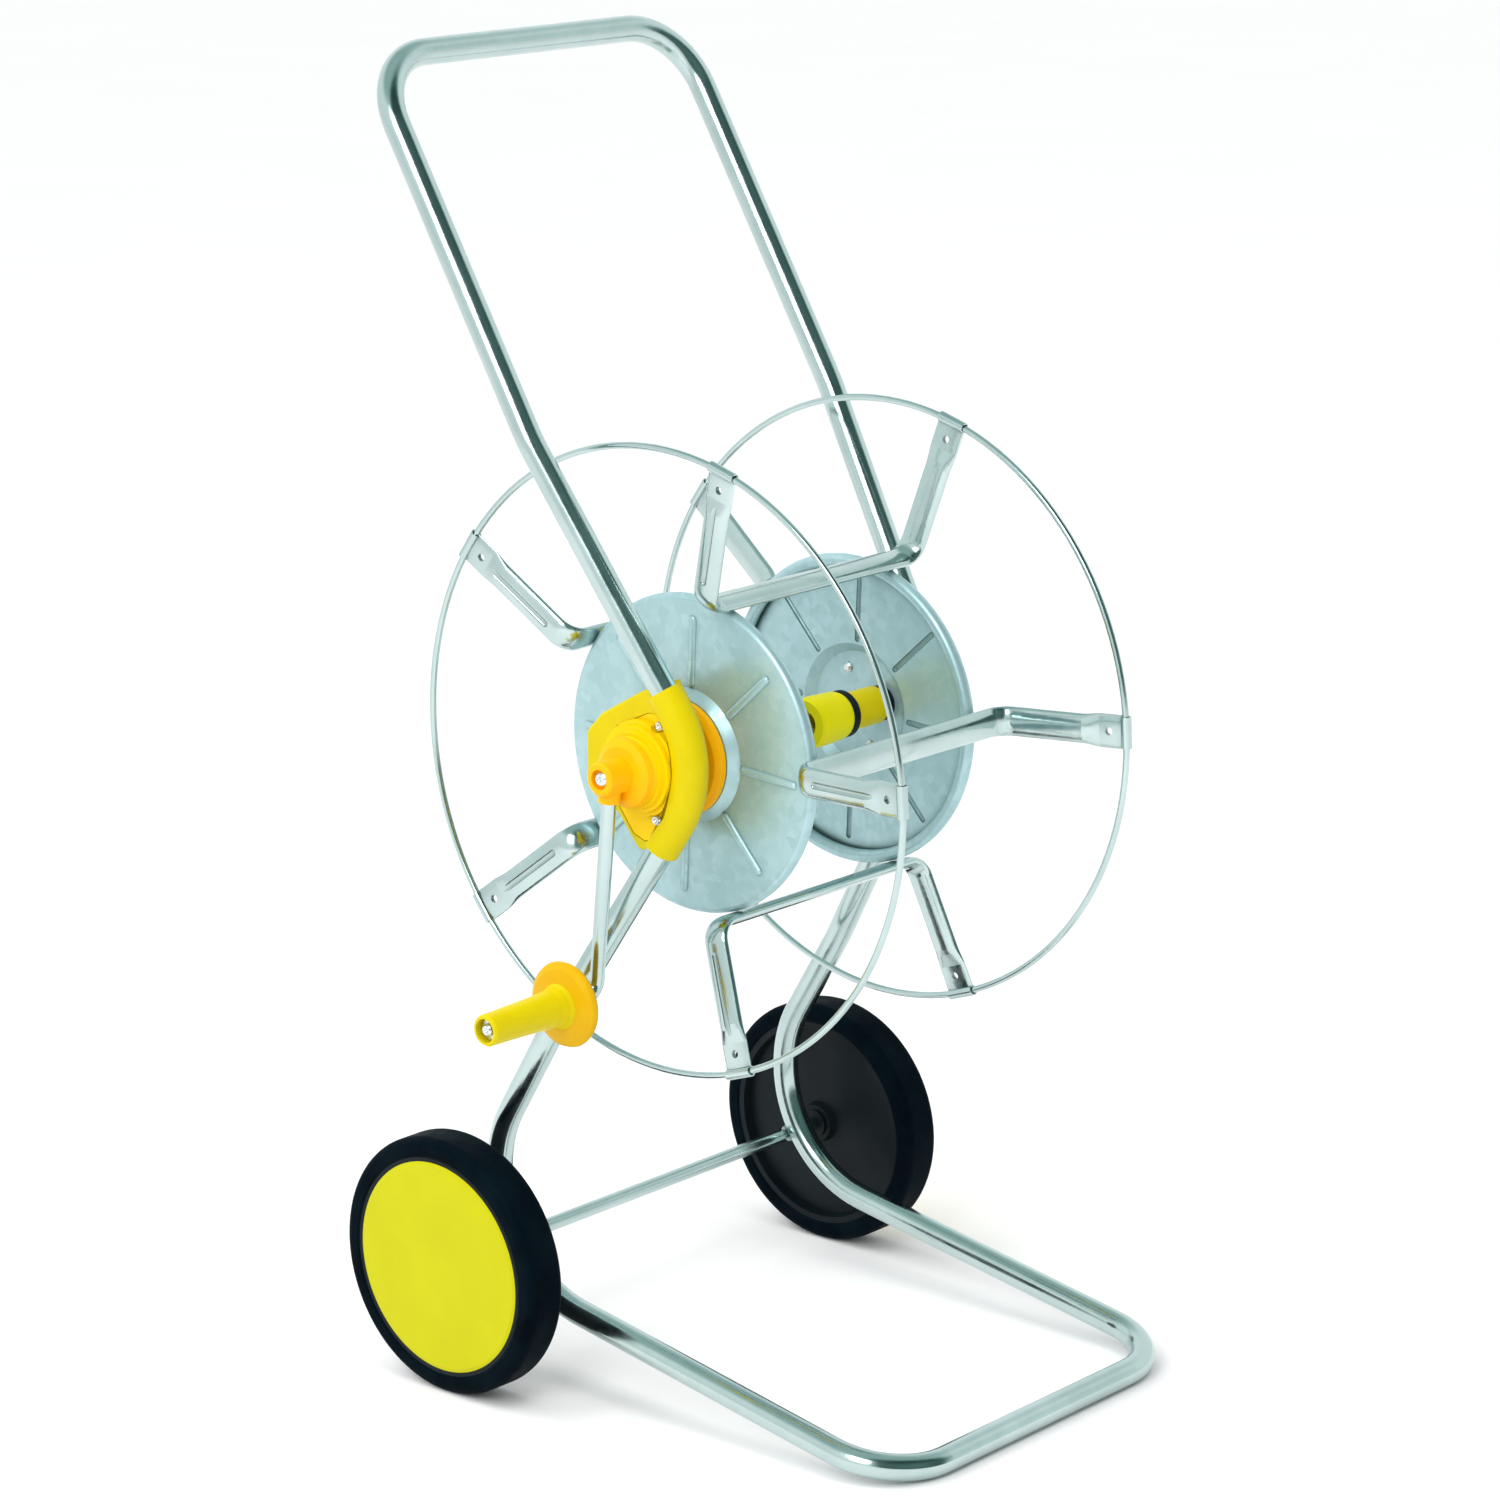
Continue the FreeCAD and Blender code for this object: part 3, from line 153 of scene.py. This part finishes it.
def galvanised_sheet():
    """Satin galvanised sheet: faint spangle, rolling marks, small dents and painted shade in creases."""
    look = Shader(
        "galvanised_sheet", (0.62, 0.69, 0.71), metallic=0.55, roughness=0.38, Specular_IOR_Level=0.2
    )
    grey = look.node("ShaderNodeRGBToBW")
    look.link(look.cells(150.0), grey.inputs["Color"])
    cloud = look.noise(9.0, 4.0, 0.6)
    mix = look.maths(
        "ADD",
        look.maths("MULTIPLY", grey.outputs["Val"], SPANGLE_SHARE),
        look.maths("MULTIPLY", cloud, 1.0 - SPANGLE_SHARE),
    )
    look.colour(look.blend(look.spread(mix, 0.0, 1.0), (0.355, 0.53, 0.555), (0.44, 0.62, 0.65)))
    # Painted shade: the colour darkens to dark teal in the creases by the rolled rim and the ribs, within
    # 9 mm.
    look.paint_hollow_shade(0.009, (0.12, 0.2, 0.2), 0.5, 0.9)
    look.rough(look.spread(mix, 0.42, 0.30))
    look.bump(look.noise(30.0, 3.0, 0.5), 0.00025)
    look.bump(look.noise(420.0, 2.0, 0.5), 0.00002)
    return look.material


def weld_steel():
    """Zinc over a weld bead: rippled and duller."""
    look = Shader("weld_steel", (0.5, 0.54, 0.54), metallic=1.0, roughness=0.42)
    ripples = look.noise(1.0, 2.0, 0.5, look.stretched((700.0, 250.0, 250.0)))
    look.colour(look.blend(look.spread(ripples, 0.0, 1.0), (0.36, 0.39, 0.39), (0.6, 0.64, 0.64)))
    look.bump(ripples, 0.0004)
    return look.material


def fastener_steel():
    """Plated screw steel with turning marks."""
    look = Shader("fastener_steel", (0.72, 0.75, 0.76), metallic=1.0, roughness=0.25)
    marks = look.noise(600.0, 3.0, 0.6)
    look.rough(look.spread(marks, 0.2, 0.36))
    look.colour(look.blend(look.spread(marks, 0.0, 1.0), (0.6, 0.63, 0.64), (0.8, 0.83, 0.84)))
    look.bump(marks, 0.00003)
    return look.material


def moulded_plastic(name, deep, light, roughness=0.34, grain=0.00004):
    """Moulded plastic: flow shading, fine grain and handling marks."""
    look = Shader(name, light, roughness=roughness, Specular_IOR_Level=0.13)
    flow = look.noise(22.0, 3.0, 0.55)
    marks = look.noise(70.0, 6.0, 0.7)
    look.colour(look.blend(look.spread(flow, 0.0, 1.0), deep, light))
    look.rough(look.spread(marks, roughness - 0.07, roughness + 0.1))
    look.bump(look.noise(900.0, 2.0, 0.5), grain)
    look.bump(flow, 0.00015)
    return look.material


def tyre_rubber():
    """Black tyre: satin, with moulding haze and a fine grain."""
    look = Shader("tyre_rubber", (0.003, 0.008, 0.012), roughness=0.5, Specular_IOR_Level=0.015)
    haze = look.noise(28.0, 4.0, 0.6)
    look.colour(look.blend(look.spread(haze, 0.0, 1.0), (0.0005, 0.0025, 0.005), (0.002, 0.007, 0.011)))
    look.rough(look.spread(look.noise(60.0, 4.0, 0.6), 0.42, 0.6))
    look.bump(look.noise(1100.0, 2.0, 0.5), 0.00006)
    return look.material


MATERIALS = {
    "zinc_tube": zinc_tube(),
    "galvanised_sheet": galvanised_sheet(),
    "weld_steel": weld_steel(),
    "steel_fastener": fastener_steel(),
    "yellow_plastic": moulded_plastic("yellow_plastic", (0.61, 0.49, 0.0), (0.67, 0.55, 0.0)),
    "lemon_plastic": moulded_plastic("lemon_plastic", (0.52, 0.50, 0.001), (0.55, 0.535, 0.001)),
    "amber_plastic": moulded_plastic("amber_plastic", (0.86, 0.56, 0.001), (0.91, 0.61, 0.002)),
    "honey_plastic": moulded_plastic("honey_plastic", (0.64, 0.36, 0.001), (0.69, 0.40, 0.002)),
    "bright_plastic": moulded_plastic("bright_plastic", (0.70, 0.64, 0.001), (0.76, 0.70, 0.001)),
    "orange_plastic": moulded_plastic("orange_plastic", (0.95, 0.43, 0.0), (0.99, 0.48, 0.001)),
    "black_plastic": moulded_plastic("black_plastic", (0.002, 0.005, 0.007), (0.005, 0.010, 0.013), 0.42),
    "tyre_black": tyre_rubber(),
    "seal_rubber": tyre_rubber(),
}


# Nodes whose plastic is a shade away from the rest of their slot.
OWN_SHADES = {
    "crank_grip": "yellow_plastic",
    "grip_flange": "honey_plastic",
    "outlet_body": "yellow_plastic",
    "outlet_collar": "bright_plastic",
    "axle_washer_left": "black_plastic",
    "axle_washer_right": "black_plastic",
}


def dress_cad():
    """Give every CAD node the material of its slot, or its own shade of it."""
    for part in frame["record"]["subparts"]:
        mesh = nodes[part["node"]].data
        mesh.materials.clear()
        mesh.materials.append(MATERIALS[OWN_SHADES.get(part["node"], part["material_slot"])])


# ---------------------------------------------------------------- stage

FLOOR_WIDTH = 60.0

# Azimuth, elevation and roll of the camera in degrees, its distance and its aim in metres.
CAMERA_ANGLES = (-47.34, 14.35, -1.13)
CAMERA_DISTANCE = 3.3879
CAMERA_AIM = (0.02825, 0.0645, 0.45)
CAMERA_LENS = 107.66
CAMERA_SHIFT = (0.0222, 0.0137)

SUN_PLACE = (-1.4, 2.6, 4.0)
LAMP_AIM = (0.03, 0.0, 0.5)
# Name, place, width, height and power of each soft box.
SOFT_BOXES = (
    ("soft_box", (-3.1, -0.9, 2.6), 1.5, 1.9, 54.0),
    ("high_box", (-0.5, -1.7, 3.9), 1.6, 1.2, 36.0),
)

# Where the dark hall lies, its brightness by how nearly a ray points there, and the sky's by height.
HALL_HEADING = (-0.123, -0.874, 0.469)
HALL_LEVELS = ((0.0, 1.0), (0.5, 1.0), (0.64, 0.85), (0.72, 0.28), (0.8, 0.1), (1.0, 0.2))
SKY_LEVELS = ((0.0, 0.9), (0.3, 0.95), (0.6, 0.95), (0.78, 0.6), (0.9, 0.5), (1.0, 0.55))
EVEN_LIGHT = (0.575, 0.58, 0.58, 1.0)
WHITE = (1.0, 1.0, 1.0, 1.0)
WORLD_STRENGTH = 1.12


def make_floor():
    """A wide pale floor."""
    bpy.ops.mesh.primitive_plane_add(size=FLOOR_WIDTH, location=(0.0, 0.0, 0.0))
    floor = bpy.context.object
    floor.name = "floor"
    look = Shader("floor_paper", (0.9, 0.9, 0.9), roughness=0.9, Specular_IOR_Level=0.1)
    grain = look.spread(look.noise(2.0, 3.0), 0.0, 1.0)
    look.colour(look.blend(grain, (0.9, 0.905, 0.905), (0.91, 0.915, 0.915)))
    floor.data.materials.append(look.material)


def aim_at(holder, spot, target):
    """Stand a lamp at a spot, looking at a target."""
    holder.location = spot
    holder.rotation_euler = (Vector(target) - Vector(spot)).to_track_quat("-Z", "Y").to_euler()
    bpy.context.scene.collection.objects.link(holder)


def make_lights():
    """A very soft sun from behind, and a soft box on the left and one overhead in front."""
    sun = bpy.data.lights.new("soft_sun", "SUN")
    sun.energy = 1.82
    sun.angle = math.radians(60.0)
    holder = bpy.data.objects.new("soft_sun", sun)
    holder.visible_glossy = False
    aim_at(holder, SUN_PLACE, (0.0, 0.0, 0.5))
    for name, spot, width, height, power in SOFT_BOXES:
        lamp = bpy.data.lights.new(name, "AREA")
        lamp.shape = "RECTANGLE"
        lamp.size = width
        lamp.size_y = height
        lamp.energy = power
        holder = bpy.data.objects.new(name, lamp)
        holder.visible_glossy = name == "soft_box"
        aim_at(holder, spot, LAMP_AIM)


def make_world():
    """Even pale light, with a dark hall on the camera's side that only the plating mirrors."""
    world = bpy.data.worlds.new("studio")
    bpy.context.scene.world = world
    world.use_nodes = True
    tree = world.node_tree
    back = tree.nodes["Background"]

    def ramp(value, stops):
        """Brightness by a value, tinted teal where it is dark."""
        made = tree.nodes.new("ShaderNodeValToRGB")
        tree.links.new(value, made.inputs["Fac"])
        elements = made.color_ramp.elements
        elements[0].position = stops[0][0]
        elements[1].position = stops[-1][0]
        for place, level in stops[1:-1]:
            elements.new(place)
        for element, (place, level) in zip(elements, stops):
            element.color = (level * (0.48 + 0.5 * level), level, level * (0.93 + 0.07 * level), 1.0)
        return made.outputs["Color"]

    direction = tree.nodes.new("ShaderNodeTexCoord").outputs["Generated"]
    heading = tree.nodes.new("ShaderNodeVectorMath")
    heading.operation = "DOT_PRODUCT"
    heading.inputs[1].default_value = HALL_HEADING
    tree.links.new(direction, heading.inputs[0])
    split = tree.nodes.new("ShaderNodeSeparateXYZ")
    tree.links.new(direction, split.inputs[0])
    hall = ramp(heading.outputs["Value"], HALL_LEVELS)
    sky = ramp(split.outputs["Z"], SKY_LEVELS)
    both = tree.nodes.new("ShaderNodeMix")
    both.data_type = "RGBA"
    both.blend_type = "MULTIPLY"
    both.inputs["Factor"].default_value = 1.0
    tree.links.new(hall, both.inputs[6])
    tree.links.new(sky, both.inputs[7])
    sight = tree.nodes.new("ShaderNodeLightPath")
    seen = EVEN_LIGHT
    for ray, colour in (("Is Glossy Ray", both.outputs[2]), ("Is Camera Ray", WHITE)):
        mix = tree.nodes.new("ShaderNodeMix")
        mix.data_type = "RGBA"
        tree.links.new(sight.outputs[ray], mix.inputs["Factor"])
        for socket, value in ((mix.inputs[6], seen), (mix.inputs[7], colour)):
            if isinstance(value, tuple):
                socket.default_value = value
            else:
                tree.links.new(value, socket)
        seen = mix.outputs[2]
    tree.links.new(seen, back.inputs["Color"])
    back.inputs["Strength"].default_value = WORLD_STRENGTH


def make_camera():
    """A long lens from the front right, a little above the axle line and slightly rolled."""
    azimuth, elevation, roll = (math.radians(angle) for angle in CAMERA_ANGLES)
    back = Vector((
        math.sin(azimuth) * math.cos(elevation),
        -math.cos(azimuth) * math.cos(elevation),
        math.sin(elevation),
    ))
    right = (-back).cross(Vector((0.0, 0.0, 1.0))).normalized()
    up = right.cross(-back)
    camera_right = right * math.cos(roll) + up * math.sin(roll)
    camera_up = up * math.cos(roll) - right * math.sin(roll)
    lens = bpy.data.cameras.new("camera")
    lens.sensor_width = 36.0
    lens.lens = CAMERA_LENS
    lens.shift_x, lens.shift_y = CAMERA_SHIFT
    camera = bpy.data.objects.new("camera", lens)
    turn = Matrix((camera_right, camera_up, back)).transposed()
    camera.matrix_world = Matrix.Translation(Vector(CAMERA_AIM) + back * CAMERA_DISTANCE) @ turn.to_4x4()
    bpy.context.scene.collection.objects.link(camera)
    bpy.context.scene.camera = camera


dress_cad()
make_floor()
make_lights()
make_world()
make_camera()
bpy.context.scene.view_settings.view_transform = "Standard"
